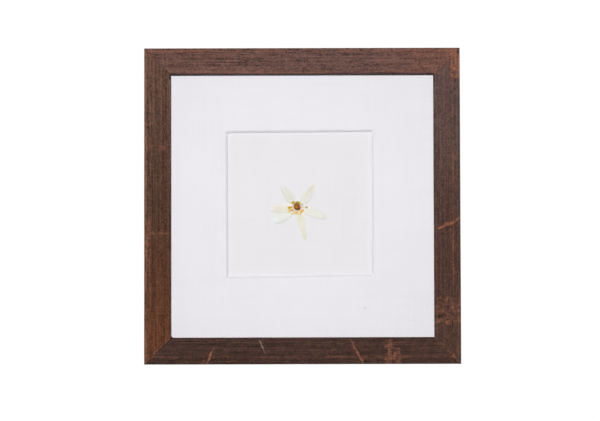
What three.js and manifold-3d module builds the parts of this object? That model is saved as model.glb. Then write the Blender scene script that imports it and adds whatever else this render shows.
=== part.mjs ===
// A pressed flower in a square wooden frame for a wall. Four mitred rails hold a glass pane, a mat
// wrapped in linen with a bevelled window, a linen mount with one blossom pressed on it, and a
// backing board that flat metal points keep in place. A sawtooth hanger carries it.
// Millimetres, +Z up. The front faces -Y and the wall is the plane Y = 0. The origin is on the
// wall side of the hanger, at its middle.

import * as THREE from "three";
import { mergeVertices } from "three/addons/utils/BufferGeometryUtils.js";
import Module from "manifold-3d";

const wasm = await Module();
wasm.setup();

// Driving dimensions of the holder
const GAP = 0.3; // between pieces that touch
const OUTER = 298.5; // outside of the square frame
const FACE_WIDTH = 25.4; // of each rail
const RAIL_DEPTH = 20;
const LIP_DEPTH = 5; // wood in front of the glass
const PANE = 254; // glass, mat, mount and backing are all cut to this square
const PANE_PLAY = 0.5; // on each side of the pane in its rebate
const BEVEL_WIDTH = 7; // the sloping strip along each rail's outer edge
const BEVEL_DEPTH = 2.2;
const EASED_EDGE = 0.8; // along the sight edge and the outer back edge
const GLASS_THICK = 2;
const MAT_THICK = 2.4;
const MOUNT_THICK = 2;
const BACKING_THICK = 3;
const MAT_BEVEL = 1.8; // width of the sloping edge round the window

// The mat's window was cut by hand, so its corners are not square: [x, z] from the frame's
// middle, at half the depth of the sloping edge, clockwise from the top left.
const WINDOW_CORNERS = [
  [-71.6, 70.1],
  [66.9, 71.0],
  [66.6, -66.0],
  [-71.0, -68.0],
];

// Fittings at the back
const POINT_WIDTH = 6;
const POINT_REACH = 11; // of the part that lies on the backing board
const POINT_IN_WOOD = 5;
const POINT_THICK = 0.5;
const POINT_OFFSET = 72; // from the middle of each rail
const HANGER_WIDTH = 44.5;
const HANGER_HEIGHT = 9.5;
const HANGER_SHEET = 0.9;
const HANGER_LIFT = 1.8; // room behind its middle for the head of a nail
const HANGER_FROM_TOP = 12.5;
const HANGER_TAB = 7.5; // flat length at each end
const HANGER_RAMP = 3;
const TOOTH_PITCH = 2.2;
const TOOTH_DEPTH = 1.8;
const TEETH = 10;
const BRAD_RADIUS = 0.65;
const BRAD_HEAD_RADIUS = 1.9;
const BRAD_HEAD_THICK = 0.8;
const BRAD_LENGTH = 8;
const BRAD_TAPER = 1.5; // length of its pointed end
const BRAD_ROUNDING = 0.4; // of its head's edge
const BUMPER_RADIUS = 5;
const BUMPER_INSET = 12.5; // from the outer edges
const BUMPER_ROUNDING = 0.8;

// Driving dimensions of the flower
const FLOWER_CENTRE = [-4.9, -0.8]; // [x, z] from the frame's middle
const PISTIL_RADII = [3.45, 3.9];
const PISTIL_HEIGHT = 2.1;
const PISTIL_TURN = -36; // degrees
const RING_RADII = [4.05, 4.8]; // the ring that the filaments grow from
const RING_LEVEL = 1.46; // height of its underside over the mount
const RING_THICK = 0.4;
const PETAL_THICK = 0.28;
const PETAL_ROOT = 4.2; // where a petal starts, from the middle of the flower
const LOW_LEVEL = 0.44; // height of a lower petal's mid surface over the mount
const HIGH_LEVEL = 1.02; // the same for a petal that lies over its neighbours
const TIP_DROOP = 0.5; // how far an upper petal comes down at its tip
const DROOP_START = 0.5; // share of its length

// Angles in degrees, anticlockwise from +X as seen from the front. A petal leaves the middle at
// root and its tip is reach away at angle. bend bows it sideways. halfWidths are at equal steps
// from root to tip.
const PETALS = [
  { name: "petal_upper_left", root: 126, angle: 126.2, reach: 24.6, bend: 0.2, high: false,
    halfWidths: [2.2, 4.5, 4.3, 3.4, 1.6] },
  { name: "petal_upper_right", root: 36, angle: 53, reach: 26.6, bend: -1.0, high: true,
    halfWidths: [2.2, 4.1, 3.7, 3.2, 1.7] },
  { name: "petal_right", root: -28, angle: -20.2, reach: 29.3, bend: 0.2, high: false,
    halfWidths: [2.2, 3.8, 4.3, 4.1, 2.5] },
  { name: "petal_bottom", root: -62, angle: -76.7, reach: 32.2, bend: 0.3, high: true,
    halfWidths: [2.0, 3.5, 3.7, 2.6, 1.2] },
  { name: "petal_left", root: 190, angle: 184.4, reach: 27.2, bend: 0.5, high: true,
    halfWidths: [2.1, 3.9, 4.1, 3.1, 0.9] },
  { name: "petal_lower_left", root: 214, angle: 209.8, reach: 26.7, bend: 0.5, high: false,
    halfWidths: [2.0, 4.5, 5.4, 5.4, 3.4] },
];

// Anthers as [x, z] from the middle of the flower, length, width and turn in degrees
const ANTHERS = [
  { at: [-3.8, 3.8], length: 3.4, width: 2.0, turn: 18 },
  { at: [0.1, 4.2], length: 1.9, width: 1.1, turn: 90 },
  { at: [1.9, 3.4], length: 3.0, width: 1.7, turn: -35 },
  { at: [4.8, 2.1], length: 1.2, width: 1.0, turn: 20 },
  { at: [9.0, -0.6], length: 2.5, width: 2.0, turn: 10 },
  { at: [-7.0, -1.0], length: 3.9, width: 1.9, turn: 8 },
  { at: [-4.9, -3.5], length: 2.8, width: 1.7, turn: -8 },
  { at: [-7.8, -3.4], length: 2.6, width: 1.5, turn: 6 },
  { at: [-8.1, -5.0], length: 2.2, width: 1.1, turn: -4 },
  { at: [-4.4, -6.7], length: 3.6, width: 1.0, turn: -6 },
  { at: [-1.2, -6.1], length: 3.8, width: 1.4, turn: -6 },
  { at: [1.8, -7.5], length: 2.4, width: 1.3, turn: -25 },
  { at: [3.2, -6.2], length: 1.9, width: 1.4, turn: 40 },
  { at: [4.8, -4.0], length: 4.6, width: 1.7, turn: 42 },
];
const ANTHER_THICK = 0.6;
const FILAMENT_WIDTH = 0.5;
const FILAMENT_THICK = 0.34;

// Faces round each turned piece, and along and across each petal
const SMALL_ROUND_FACES = 12;
const ROUND_FACES = 24;
const PETAL_ROWS = 16;
const PETAL_COLUMNS = 4;
const PETAL_TIP_ROUNDING = 0.1; // share of its length

// Places worked out from the above. Depths are measured backwards from the front of the rails.
const REBATE = PANE + 2 * PANE_PLAY;
const REBATE_WALL = (OUTER - REBATE) / 2; // wood outside the rebate
const RAIL_BACK = -(HANGER_SHEET + HANGER_LIFT + GAP);
const RAIL_FRONT = RAIL_BACK - RAIL_DEPTH;
const GLASS_DEPTH = LIP_DEPTH + GAP;
const MAT_DEPTH = GLASS_DEPTH + GLASS_THICK + GAP;
const MOUNT_DEPTH = MAT_DEPTH + MAT_THICK + GAP;
const BACKING_DEPTH = MOUNT_DEPTH + MOUNT_THICK + GAP;
const POINT_DEPTH = BACKING_DEPTH + BACKING_THICK + GAP;
const FRAME_MIDDLE_Z = HANGER_FROM_TOP - OUTER / 2;
const MOUNT_FACE_Y = RAIL_FRONT + MOUNT_DEPTH;

// Colours of the pieces
const finish = (color, roughness, metalness = 0) =>
  new THREE.MeshStandardMaterial({ color, roughness, metalness });
const FINISH = {
  wood: finish("#573f35", 0.6),
  glass: new THREE.MeshStandardMaterial({
    color: "#f2f6f5", roughness: 0.02, transparent: true, opacity: 0.15,
  }),
  linen: finish("#eae8ec", 0.9),
  hardboard: finish("#6b4a30", 0.75),
  steel: finish("#a9abad", 0.35, 1),
  brass: finish("#b9975a", 0.35, 1),
  bumper: finish("#3a3836", 0.8),
  petal: finish("#e9e9d4", 0.7),
  pistil: finish("#7a3f1c", 0.7),
  stamens: finish("#c9932e", 0.65),
};

// Geometry helpers
function onlyPositions(geometry) {
  const bare = geometry.clone();
  for (const name of Object.keys(bare.attributes)) {
    if (name !== "position") bare.deleteAttribute(name);
  }
  bare.clearGroups();
  return mergeVertices(bare, 1e-4);
}

function solid(geometry) {
  const merged = onlyPositions(geometry);
  return new wasm.Manifold(
    new wasm.Mesh({
      numProp: 3,
      vertProperties: merged.attributes.position.array,
      triVerts: new Uint32Array(merged.index.array),
    }),
  );
}

function geometryOf(manifold) {
  const { vertProperties, triVerts } = manifold.getMesh();
  const geometry = new THREE.BufferGeometry();
  geometry.setAttribute("position", new THREE.BufferAttribute(vertProperties, 3));
  geometry.setIndex(new THREE.BufferAttribute(triVerts, 1));
  geometry.computeVertexNormals();
  return geometry;
}

function moveVertices(geometry, move) {
  const position = geometry.attributes.position;
  const point = new THREE.Vector3();
  for (let i = 0; i < position.count; i++) {
    point.fromBufferAttribute(position, i);
    move(point);
    position.setXYZ(i, point.x, point.y, point.z);
  }
  geometry.computeVertexNormals();
  return geometry;
}

function shapeFrom(points) {
  return new THREE.Shape(points.map(([x, y]) => new THREE.Vector2(x, y)));
}

function extruded(points, depth) {
  const settings = { depth, bevelEnabled: false, steps: 1 };
  return new THREE.ExtrudeGeometry(shapeFrom(points), settings);
}

// A shape drawn as [x, z] seen from the front, standing from the depth yFront back to yBack
function plateFacing(points, yFront, yBack) {
  const plate = extruded(points, yBack - yFront);
  plate.rotateX(Math.PI / 2);
  plate.translate(0, yBack, 0);
  return plate;
}

function named(name, geometry, material) {
  const mesh = new THREE.Mesh(geometry, material);
  mesh.name = name;
  return mesh;
}

const quarterTurn = (quarters) => new THREE.Matrix4().makeRotationY((quarters * Math.PI) / 2);

// The four sides of the frame, each a quarter turn on from the bottom one
const SIDES = ["bottom", "left", "top", "right"];

// The rails
function railSection() {
  return [
    [BEVEL_DEPTH, 0],
    [RAIL_DEPTH - EASED_EDGE, 0],
    [RAIL_DEPTH, EASED_EDGE],
    [RAIL_DEPTH, REBATE_WALL],
    [LIP_DEPTH, REBATE_WALL],
    [LIP_DEPTH, FACE_WIDTH],
    [EASED_EDGE, FACE_WIDTH],
    [0, FACE_WIDTH - EASED_EDGE],
    [0, BEVEL_WIDTH],
  ];
}

// A bottom rail whose ends are mitred: the section's second coordinate is the distance in from
// the outer edge, and each end is drawn in by as much.
function mitredRail() {
  const rail = extruded(railSection(), OUTER);
  moveVertices(rail, (p) => {
    const drawnIn = p.y + GAP * Math.SQRT1_2;
    p.z += p.z < OUTER / 2 ? drawnIn : -drawnIn;
  });
  rail.translate(0, 0, -OUTER / 2);
  const lengthwise = new THREE.Matrix4().makeBasis(
    new THREE.Vector3(0, 1, 0),
    new THREE.Vector3(0, 0, 1),
    new THREE.Vector3(1, 0, 0),
  );
  rail.applyMatrix4(lengthwise);
  rail.translate(0, RAIL_FRONT, -OUTER / 2);
  return rail;
}

// Where a point is driven into the inner wall of the bottom rail
function pointSlot(x) {
  const slot = new THREE.BoxGeometry(
    POINT_WIDTH + 2 * GAP,
    POINT_THICK + 2 * GAP,
    2 * (POINT_IN_WOOD + GAP),
  );
  const y = RAIL_FRONT + POINT_DEPTH + POINT_THICK / 2;
  slot.translate(x, y, -OUTER / 2 + REBATE_WALL);
  return slot;
}

function bradHole(x) {
  const radius = BRAD_RADIUS + GAP;
  const through = 2 * (BRAD_LENGTH + GAP);
  const hole = new THREE.CylinderGeometry(radius, radius, through, SMALL_ROUND_FACES);
  hole.translate(x, RAIL_BACK, 0);
  return hole;
}

const bradPlaces = [-1, 1].map((side) => side * (HANGER_WIDTH - HANGER_TAB) / 2);

// Holes are cut where each rail stands, so the brads' holes are given from the hanger's height.
function makeRail(side, quarters) {
  let rail = solid(mitredRail());
  for (const x of [-POINT_OFFSET, POINT_OFFSET]) {
    rail = rail.subtract(solid(pointSlot(x)));
  }
  const geometry = geometryOf(rail);
  geometry.applyMatrix4(quarterTurn(quarters));
  if (side !== "top") return geometry;
  let drilled = solid(geometry);
  for (const x of bradPlaces) {
    const hole = bradHole(x);
    hole.translate(0, 0, -FRAME_MIDDLE_Z);
    drilled = drilled.subtract(solid(hole));
  }
  return geometryOf(drilled);
}

// The flat pieces between the rails
function panel(depth, thickness) {
  const geometry = new THREE.BoxGeometry(PANE, thickness, PANE);
  geometry.translate(0, RAIL_FRONT + depth + thickness / 2, 0);
  return geometry;
}

function windowOutline(outward) {
  const middle = [0, 1].map(
    (axis) => WINDOW_CORNERS.reduce((sum, corner) => sum + corner[axis], 0) / WINDOW_CORNERS.length,
  );
  const halfSide = WINDOW_CORNERS[1][0] - middle[0];
  const grow = 1 + outward / halfSide;
  return WINDOW_CORNERS.map((corner) =>
    corner.map((value, axis) => middle[axis] + (value - middle[axis]) * grow),
  );
}

// The cutter runs past both faces of the mat by the mat's own thickness, at the same slope.
function windowCutter() {
  const reach = 1.5 * MAT_BEVEL;
  const front = windowOutline(reach);
  const back = windowOutline(-reach);
  const yFront = RAIL_FRONT + MAT_DEPTH - MAT_THICK;
  const yBack = RAIL_FRONT + MAT_DEPTH + 2 * MAT_THICK;
  const cutter = plateFacing(front, yFront, yBack);
  return moveVertices(cutter, (p) => {
    if (p.y < (yFront + yBack) / 2) return;
    const corner = front.findIndex(([x, z]) => Math.hypot(p.x - x, p.z - z) < 1e-3);
    p.x = back[corner][0];
    p.z = back[corner][1];
  });
}

function linenMat() {
  return geometryOf(solid(panel(MAT_DEPTH, MAT_THICK)).subtract(solid(windowCutter())));
}

// The fittings at the back
function framerPoint(x) {
  const half = POINT_WIDTH / 2;
  const outline = [
    [-half, POINT_REACH],
    [-half, 0],
    [0, -POINT_IN_WOOD],
    [half, 0],
    [half, POINT_REACH],
  ];
  const y = RAIL_FRONT + POINT_DEPTH;
  const point = plateFacing(outline, y, y + POINT_THICK);
  point.translate(x, 0, -OUTER / 2 + REBATE_WALL);
  return point;
}

// The hanger's strip seen from above: flat tabs at both ends and a raised middle
function hangerStrip() {
  const end = HANGER_WIDTH / 2;
  const tab = end - HANGER_TAB;
  const flat = tab - HANGER_RAMP;
  const half = [
    [flat, 0],
    [tab, -HANGER_LIFT],
    [end, -HANGER_LIFT],
    [end, -HANGER_LIFT - HANGER_SHEET],
    [tab - HANGER_SHEET / 2, -HANGER_LIFT - HANGER_SHEET],
    [flat - HANGER_SHEET / 2, -HANGER_SHEET],
  ];
  const mirrored = half.map(([x, y]) => [-x, y]).reverse();
  const strip = extruded([...half, ...mirrored], HANGER_HEIGHT);
  strip.translate(0, 0, -HANGER_HEIGHT / 2);
  return strip;
}

// What is cut away along the hanger's lower edge to leave its teeth
function toothGaps() {
  const low = -HANGER_HEIGHT / 2 - 1;
  const edge = -HANGER_HEIGHT / 2;
  const start = (-TEETH * TOOTH_PITCH) / 2;
  const gaps = [];
  for (let i = 0; i < TEETH; i++) {
    const x = start + i * TOOTH_PITCH;
    gaps.push([x, edge], [x + TOOTH_PITCH / 2, edge + TOOTH_DEPTH]);
  }
  gaps.push([-start, edge], [-start, low], [start, low]);
  return plateFacing(gaps, -2 * HANGER_LIFT, 1);
}

function sawtoothHanger() {
  let hanger = solid(hangerStrip()).subtract(solid(toothGaps()));
  for (const x of bradPlaces) {
    hanger = hanger.subtract(solid(bradHole(x)));
  }
  return geometryOf(hanger);
}

function brad(x) {
  const headBase = -HANGER_LIFT + GAP;
  const headTop = headBase + BRAD_HEAD_THICK;
  const tip = RAIL_BACK - BRAD_LENGTH;
  const profile = [
    [0, tip],
    [BRAD_RADIUS, tip + BRAD_TAPER],
    [BRAD_RADIUS, headBase],
    [BRAD_HEAD_RADIUS, headBase],
    [BRAD_HEAD_RADIUS, headTop - BRAD_ROUNDING],
    [BRAD_HEAD_RADIUS - BRAD_ROUNDING, headTop],
    [0, headTop],
  ];
  const geometry = lathe(profile, SMALL_ROUND_FACES);
  geometry.translate(x, 0, 0);
  return geometry;
}

// Turned about the Y axis, from [radius, y]
function lathe(profile, segments) {
  const points = profile.map(([radius, y]) => new THREE.Vector2(radius, y));
  return new THREE.LatheGeometry(points, segments);
}

function wallBumper(side) {
  const base = RAIL_BACK + GAP;
  const profile = [
    [0, base],
    [BUMPER_RADIUS, base],
    [BUMPER_RADIUS, -BUMPER_ROUNDING],
    [BUMPER_RADIUS - BUMPER_ROUNDING, 0],
    [0, 0],
  ];
  const bumper = lathe(profile, ROUND_FACES);
  const x = side * (OUTER / 2 - BUMPER_INSET);
  bumper.translate(x, 0, -OUTER / 2 + BUMPER_INSET);
  return bumper;
}

// The flower. Its parts are drawn about its own middle, on the mount's face: a height over that
// face is a distance towards -Y.
const radians = THREE.MathUtils.degToRad;
const polar = (angle, radius) =>
  new THREE.Vector2(Math.cos(radians(angle)), Math.sin(radians(angle))).multiplyScalar(radius);

function petalMidrib({ root, angle, reach, bend }) {
  const start = polar(root, PETAL_ROOT);
  const tip = polar(angle, reach);
  const along = tip.clone().sub(start);
  const sideways = new THREE.Vector2(-along.y, along.x).normalize();
  const middle = start.clone().lerp(tip, 0.5).addScaledVector(sideways, 2 * bend);
  return new THREE.QuadraticBezierCurve(start, middle, tip);
}

// Half the width at t, from 0 at the root to 1 at the tip, which is rounded off
function petalHalfWidth(halfWidths, t) {
  const curve = new THREE.SplineCurve(halfWidths.map((w, i) => new THREE.Vector2(i, w)));
  const intoTip = Math.max(0, (t - 1) / PETAL_TIP_ROUNDING + 1);
  return curve.getPoint(t).y * Math.sqrt(1 - 0.8 * intoTip ** 2);
}

function petalLevel(high, t) {
  if (!high) return LOW_LEVEL;
  return HIGH_LEVEL - TIP_DROOP * THREE.MathUtils.smoothstep(t, DROOP_START, 1);
}

function petal(spec) {
  const midrib = petalMidrib(spec);
  const geometry = new THREE.BoxGeometry(2, 1, 1, PETAL_COLUMNS, 1, PETAL_ROWS);
  return moveVertices(geometry, (p) => {
    const t = 0.5 - p.z;
    const centre = midrib.getPoint(t);
    const along = midrib.getTangent(t);
    const aside = petalHalfWidth(spec.halfWidths, t) * p.x;
    const height = petalLevel(spec.high, t) - PETAL_THICK * p.y;
    p.set(centre.x - along.y * aside, -height, centre.y + along.x * aside);
  });
}

function pistil() {
  const profile = [
    [0, -PISTIL_HEIGHT + 0.35],
    [0.3, -PISTIL_HEIGHT + 0.25],
    [0.55, -PISTIL_HEIGHT],
    [0.8, -PISTIL_HEIGHT + 0.3],
    [0.97, -PISTIL_HEIGHT + 0.9],
    [1, -GAP - 0.3],
    [0.9, -GAP],
    [0, -GAP],
  ];
  const geometry = lathe(profile, ROUND_FACES);
  geometry.scale(PISTIL_RADII[0], 1, PISTIL_RADII[1]);
  geometry.rotateY(radians(PISTIL_TURN));
  return geometry;
}

function staminalRing() {
  const [inner, outer] = RING_RADII;
  const low = -RING_LEVEL;
  const high = -RING_LEVEL - RING_THICK;
  const profile = [
    [inner, high],
    [outer, high],
    [outer, low],
    [inner, low],
    [inner, high],
  ];
  return lathe(profile, ROUND_FACES);
}

function anther({ at, length, width, turn }) {
  const ball = new THREE.SphereGeometry(0.5, 8, 6);
  ball.scale(length, ANTHER_THICK, width);
  ball.rotateY(radians(-turn));
  ball.translate(at[0], -RING_LEVEL - ANTHER_THICK / 2, at[1]);
  return ball;
}

function filament({ at }) {
  const to = new THREE.Vector2(...at);
  const from = to.clone().setLength((RING_RADII[0] + RING_RADII[1]) / 2);
  const strip = new THREE.BoxGeometry(to.distanceTo(from), FILAMENT_THICK, FILAMENT_WIDTH);
  strip.rotateY(-to.angle());
  const middle = from.add(to).multiplyScalar(0.5);
  strip.translate(middle.x, -RING_LEVEL - RING_THICK / 2, middle.y);
  return strip;
}

function stamens() {
  let whole = solid(staminalRing());
  for (const spec of ANTHERS) {
    whole = whole.add(solid(filament(spec))).add(solid(anther(spec)));
  }
  return geometryOf(whole);
}

function makeFlower() {
  const flower = new THREE.Group();
  flower.position.set(FLOWER_CENTRE[0], MOUNT_FACE_Y, FLOWER_CENTRE[1]);
  for (const spec of PETALS) {
    flower.add(named(spec.name, petal(spec), FINISH.petal));
  }
  flower.add(named("pistil", pistil(), FINISH.pistil));
  flower.add(named("stamens", stamens(), FINISH.stamens));
  return flower;
}

function makeFraming() {
  const framing = new THREE.Group();
  SIDES.forEach((side, quarters) => {
    framing.add(named("rail_" + side, makeRail(side, quarters), FINISH.wood));
  });
  framing.add(named("glass_pane", panel(GLASS_DEPTH, GLASS_THICK), FINISH.glass));
  framing.add(named("linen_mat", linenMat(), FINISH.linen));
  framing.add(named("linen_mount", panel(MOUNT_DEPTH, MOUNT_THICK), FINISH.linen));
  framing.add(named("backing_board", panel(BACKING_DEPTH, BACKING_THICK), FINISH.hardboard));
  SIDES.forEach((side, quarters) => {
    [-POINT_OFFSET, POINT_OFFSET].forEach((x, i) => {
      const point = framerPoint(x).applyMatrix4(quarterTurn(quarters));
      framing.add(named("framer_point_" + (2 * quarters + i + 1), point, FINISH.steel));
    });
  });
  framing.add(named("wall_bumper_left", wallBumper(-1), FINISH.bumper));
  framing.add(named("wall_bumper_right", wallBumper(1), FINISH.bumper));
  return framing;
}

function makeHanger() {
  const hanger = new THREE.Group();
  hanger.add(named("sawtooth_hanger", sawtoothHanger(), FINISH.brass));
  hanger.add(named("hanger_brad_left", brad(bradPlaces[0]), FINISH.brass));
  hanger.add(named("hanger_brad_right", brad(bradPlaces[1]), FINISH.brass));
  return hanger;
}

const framed = new THREE.Group();
framed.position.z = FRAME_MIDDLE_Z;
framed.add(makeFraming(), makeFlower());

const group = new THREE.Group();
group.add(framed, makeHanger());

export default group;
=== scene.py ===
# A pressed flower in a square wooden frame for a wall: stained rails with worn marks, a mat and a
# mount covered in white linen, a six-petalled blossom, and the fittings at the back.
# Metres, +Z up. The front faces -Y and the wall is the plane Y = 0.

from math import atan2, copysign, cos, exp, hypot, pi, radians, remainder, sin, sqrt

import bmesh
import bpy
import numpy as np
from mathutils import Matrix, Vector, noise


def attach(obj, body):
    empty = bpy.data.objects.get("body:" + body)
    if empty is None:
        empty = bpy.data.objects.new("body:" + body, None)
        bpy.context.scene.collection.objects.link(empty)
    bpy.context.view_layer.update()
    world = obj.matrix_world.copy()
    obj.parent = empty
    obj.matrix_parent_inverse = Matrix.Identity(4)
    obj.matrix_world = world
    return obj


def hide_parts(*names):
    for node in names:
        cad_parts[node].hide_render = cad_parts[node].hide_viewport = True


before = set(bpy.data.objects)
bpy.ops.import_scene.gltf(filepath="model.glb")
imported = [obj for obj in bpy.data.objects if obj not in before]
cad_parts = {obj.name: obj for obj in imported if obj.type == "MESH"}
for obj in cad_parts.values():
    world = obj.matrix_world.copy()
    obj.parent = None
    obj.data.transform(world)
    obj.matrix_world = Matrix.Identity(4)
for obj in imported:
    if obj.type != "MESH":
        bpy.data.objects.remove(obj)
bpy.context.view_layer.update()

MM = 0.001

# Dimensions of the solids, in millimetres
OUTER = 298.5
FACE_WIDTH = 25.4
RAIL_DEPTH = 20
LIP_DEPTH = 5
PANE = 254
PANE_PLAY = 0.5
BEVEL_WIDTH = 7
BEVEL_DEPTH = 2.2
GAP = 0.3
GLASS_THICK = 2
MAT_THICK = 2.4
HANGER_SHEET = 0.9
HANGER_LIFT = 1.8
HANGER_FROM_TOP = 12.5
HANGER_WIDTH = 44.5
HANGER_TAB = 7.5
BUMPER_RADIUS = 5
BUMPER_INSET = 12.5
WINDOW_CORNERS = [(-71.6, 70.1), (66.9, 71), (66.6, -66), (-71, -68)]
FLOWER_CENTRE = (-4.9, -0.8)

RAIL_BACK = -(HANGER_SHEET + HANGER_LIFT + GAP)
RAIL_FRONT = RAIL_BACK - RAIL_DEPTH
REBATE_WALL = (OUTER - PANE) / 2 - PANE_PLAY
SIGHT = OUTER / 2 - FACE_WIDTH
MAT_FACE = RAIL_FRONT + LIP_DEPTH + GAP + GLASS_THICK + GAP
MOUNT_FACE = MAT_FACE + MAT_THICK + GAP
MIDDLE_Z = HANGER_FROM_TOP - OUTER / 2

# The camera, from the frame's middle, in millimetres and degrees
CAMERA_LENS = 85
CAMERA_SENSOR = 36
CAMERA_X = -3.75
CAMERA_Z = -36.7
CAMERA_DISTANCE = 1332.2
CAMERA_UP = 1.381
CAMERA_RIGHT = 0.062
CAMERA_ROLL = 0.15

FLOOR_BELOW = 1500
FLOOR_RADIUS = 6000
FLOOR_SEGMENTS = 96
FLOOR_GLOW = 0.85
ROOM_LIGHT = 0.06
ROOM_AS_SEEN = 1.02

# Each lamp's name, azimuth, elevation, distance, width and height in metres, watts, spread, and
# whether it shows in reflections
LAMPS = [
    ("front_softbox", -3, 7, 3, 0.22, 0.2, 10.35, 60, False),
    ("upper_softbox", 180, 66, 2.2, 1.4, 0.6, 6, 80, True),
    ("left_side", -108, 12, 2.2, 1.2, 1.2, 7, 90, True),
    ("right_side", 108, 12, 2.2, 1.2, 1.2, 7, 90, True),
    ("back_softbox", 168, 28, 2.6, 1.4, 1.2, 10, 90, True),
]


# Helpers for places, colours and shapes
def framed(x, y, z):
    """A place in metres from [x, z] measured from the frame's middle and y, in millimetres."""
    return Vector((x, y, z + MIDDLE_Z)) * MM


def srgb(red, green, blue):
    """A shader's colour from one seen on a screen, 0 to 255."""
    seen = (red / 255, green / 255, blue / 255)
    linear = [v / 12.92 if v <= 0.04045 else ((v + 0.055) / 1.055) ** 2.4 for v in seen]
    return (*linear, 1)


def smoothstep(value, low, high):
    share = np.clip((value - low) / (high - low), 0, 1)
    return share * share * (3 - 2 * share)


def ragged(points, seed):
    """Smooth noise from -1 to 1 at each of the points."""
    offset = Vector((seed * 17.3, seed * 5.1, seed * 9.7))
    return np.array([noise.noise(Vector(p) + offset) for p in points])


def round_angles(steps):
    return [2 * pi * k / steps for k in range(steps)]


def turned_by(x, z, degrees):
    """A place turned clockwise, as seen from the front."""
    c, s = cos(radians(degrees)), sin(radians(degrees))
    return x * c + z * s, -x * s + z * c


def catmull_rom(values, share):
    """A smooth curve through values at equal steps."""
    place = share * (len(values) - 1)
    index = min(int(place), len(values) - 2)
    t = place - index
    before, here, there, beyond = [values[0], *values, values[-1]][index:index + 4]
    v0, v1 = (there - before) / 2, (beyond - here) / 2
    cube = (2 * here - 2 * there + v0 + v1) * t**3
    return cube + (-3 * here + 3 * there - 2 * v0 - v1) * t**2 + v0 * t + here


def grid_faces(rows, columns, closed_rows=False, closed_columns=False):
    """Quads over a grid of points that is stored row by row."""
    faces = []
    for i in range(rows if closed_rows else rows - 1):
        for j in range(columns if closed_columns else columns - 1):
            i2, j2 = (i + 1) % rows, (j + 1) % columns
            here, after = i * columns, i2 * columns
            faces.append((here + j, here + j2, after + j2, after + j))
    return faces


def put(name, data):
    """A new object in the scene."""
    made = bpy.data.objects.new(name, data)
    bpy.context.scene.collection.objects.link(made)
    return made


def new_piece(name, points, faces, material, replaces):
    """A closed mesh from points in metres, which rides on the frame."""
    mesh = bpy.data.meshes.new(name)
    mesh.from_pydata(points, [], faces)
    shape = bmesh.new()
    shape.from_mesh(mesh)
    if shape.calc_volume(signed=True) < 0:
        bmesh.ops.reverse_faces(shape, faces=shape.faces)
        shape.to_mesh(mesh)
    shape.free()
    mesh.shade_smooth()
    mesh.materials.append(material)
    piece = put(name, mesh)
    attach(piece, "root")
    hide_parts(*replaces)
    return piece


def paint(piece, name, values):
    """Keeps a number, a vector or a colour for each point of a piece, for its material to read."""
    values = np.asarray(values, np.float32)
    kinds = {1: ("FLOAT", "value"), 3: ("FLOAT_VECTOR", "vector"), 4: ("FLOAT_COLOR", "color")}
    kind, field = kinds[1 if values.ndim == 1 else values.shape[1]]
    layer = piece.data.attributes.new(name, kind, "POINT")
    layer.data.foreach_set(field, values.ravel())


def turned(profile, segments):
    """Points in millimetres and faces of a shape turned about Y, from (radius, y). It starts and
    ends on the axis."""
    inner = profile[1:-1]
    points = [(0, profile[0][1], 0)]
    for radius, y in inner:
        for angle in round_angles(segments):
            points.append((radius * cos(angle), y, radius * sin(angle)))
    points.append((0, profile[-1][1], 0))
    quads = grid_faces(len(inner), segments, closed_columns=True)
    faces = [tuple(1 + index for index in quad) for quad in quads]
    last = 1 + (len(inner) - 1) * segments
    for k in range(segments):
        after = (k + 1) % segments
        faces.append((0, 1 + after, 1 + k))
        faces.append((len(points) - 1, last + k, last + after))
    return points, faces


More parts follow.
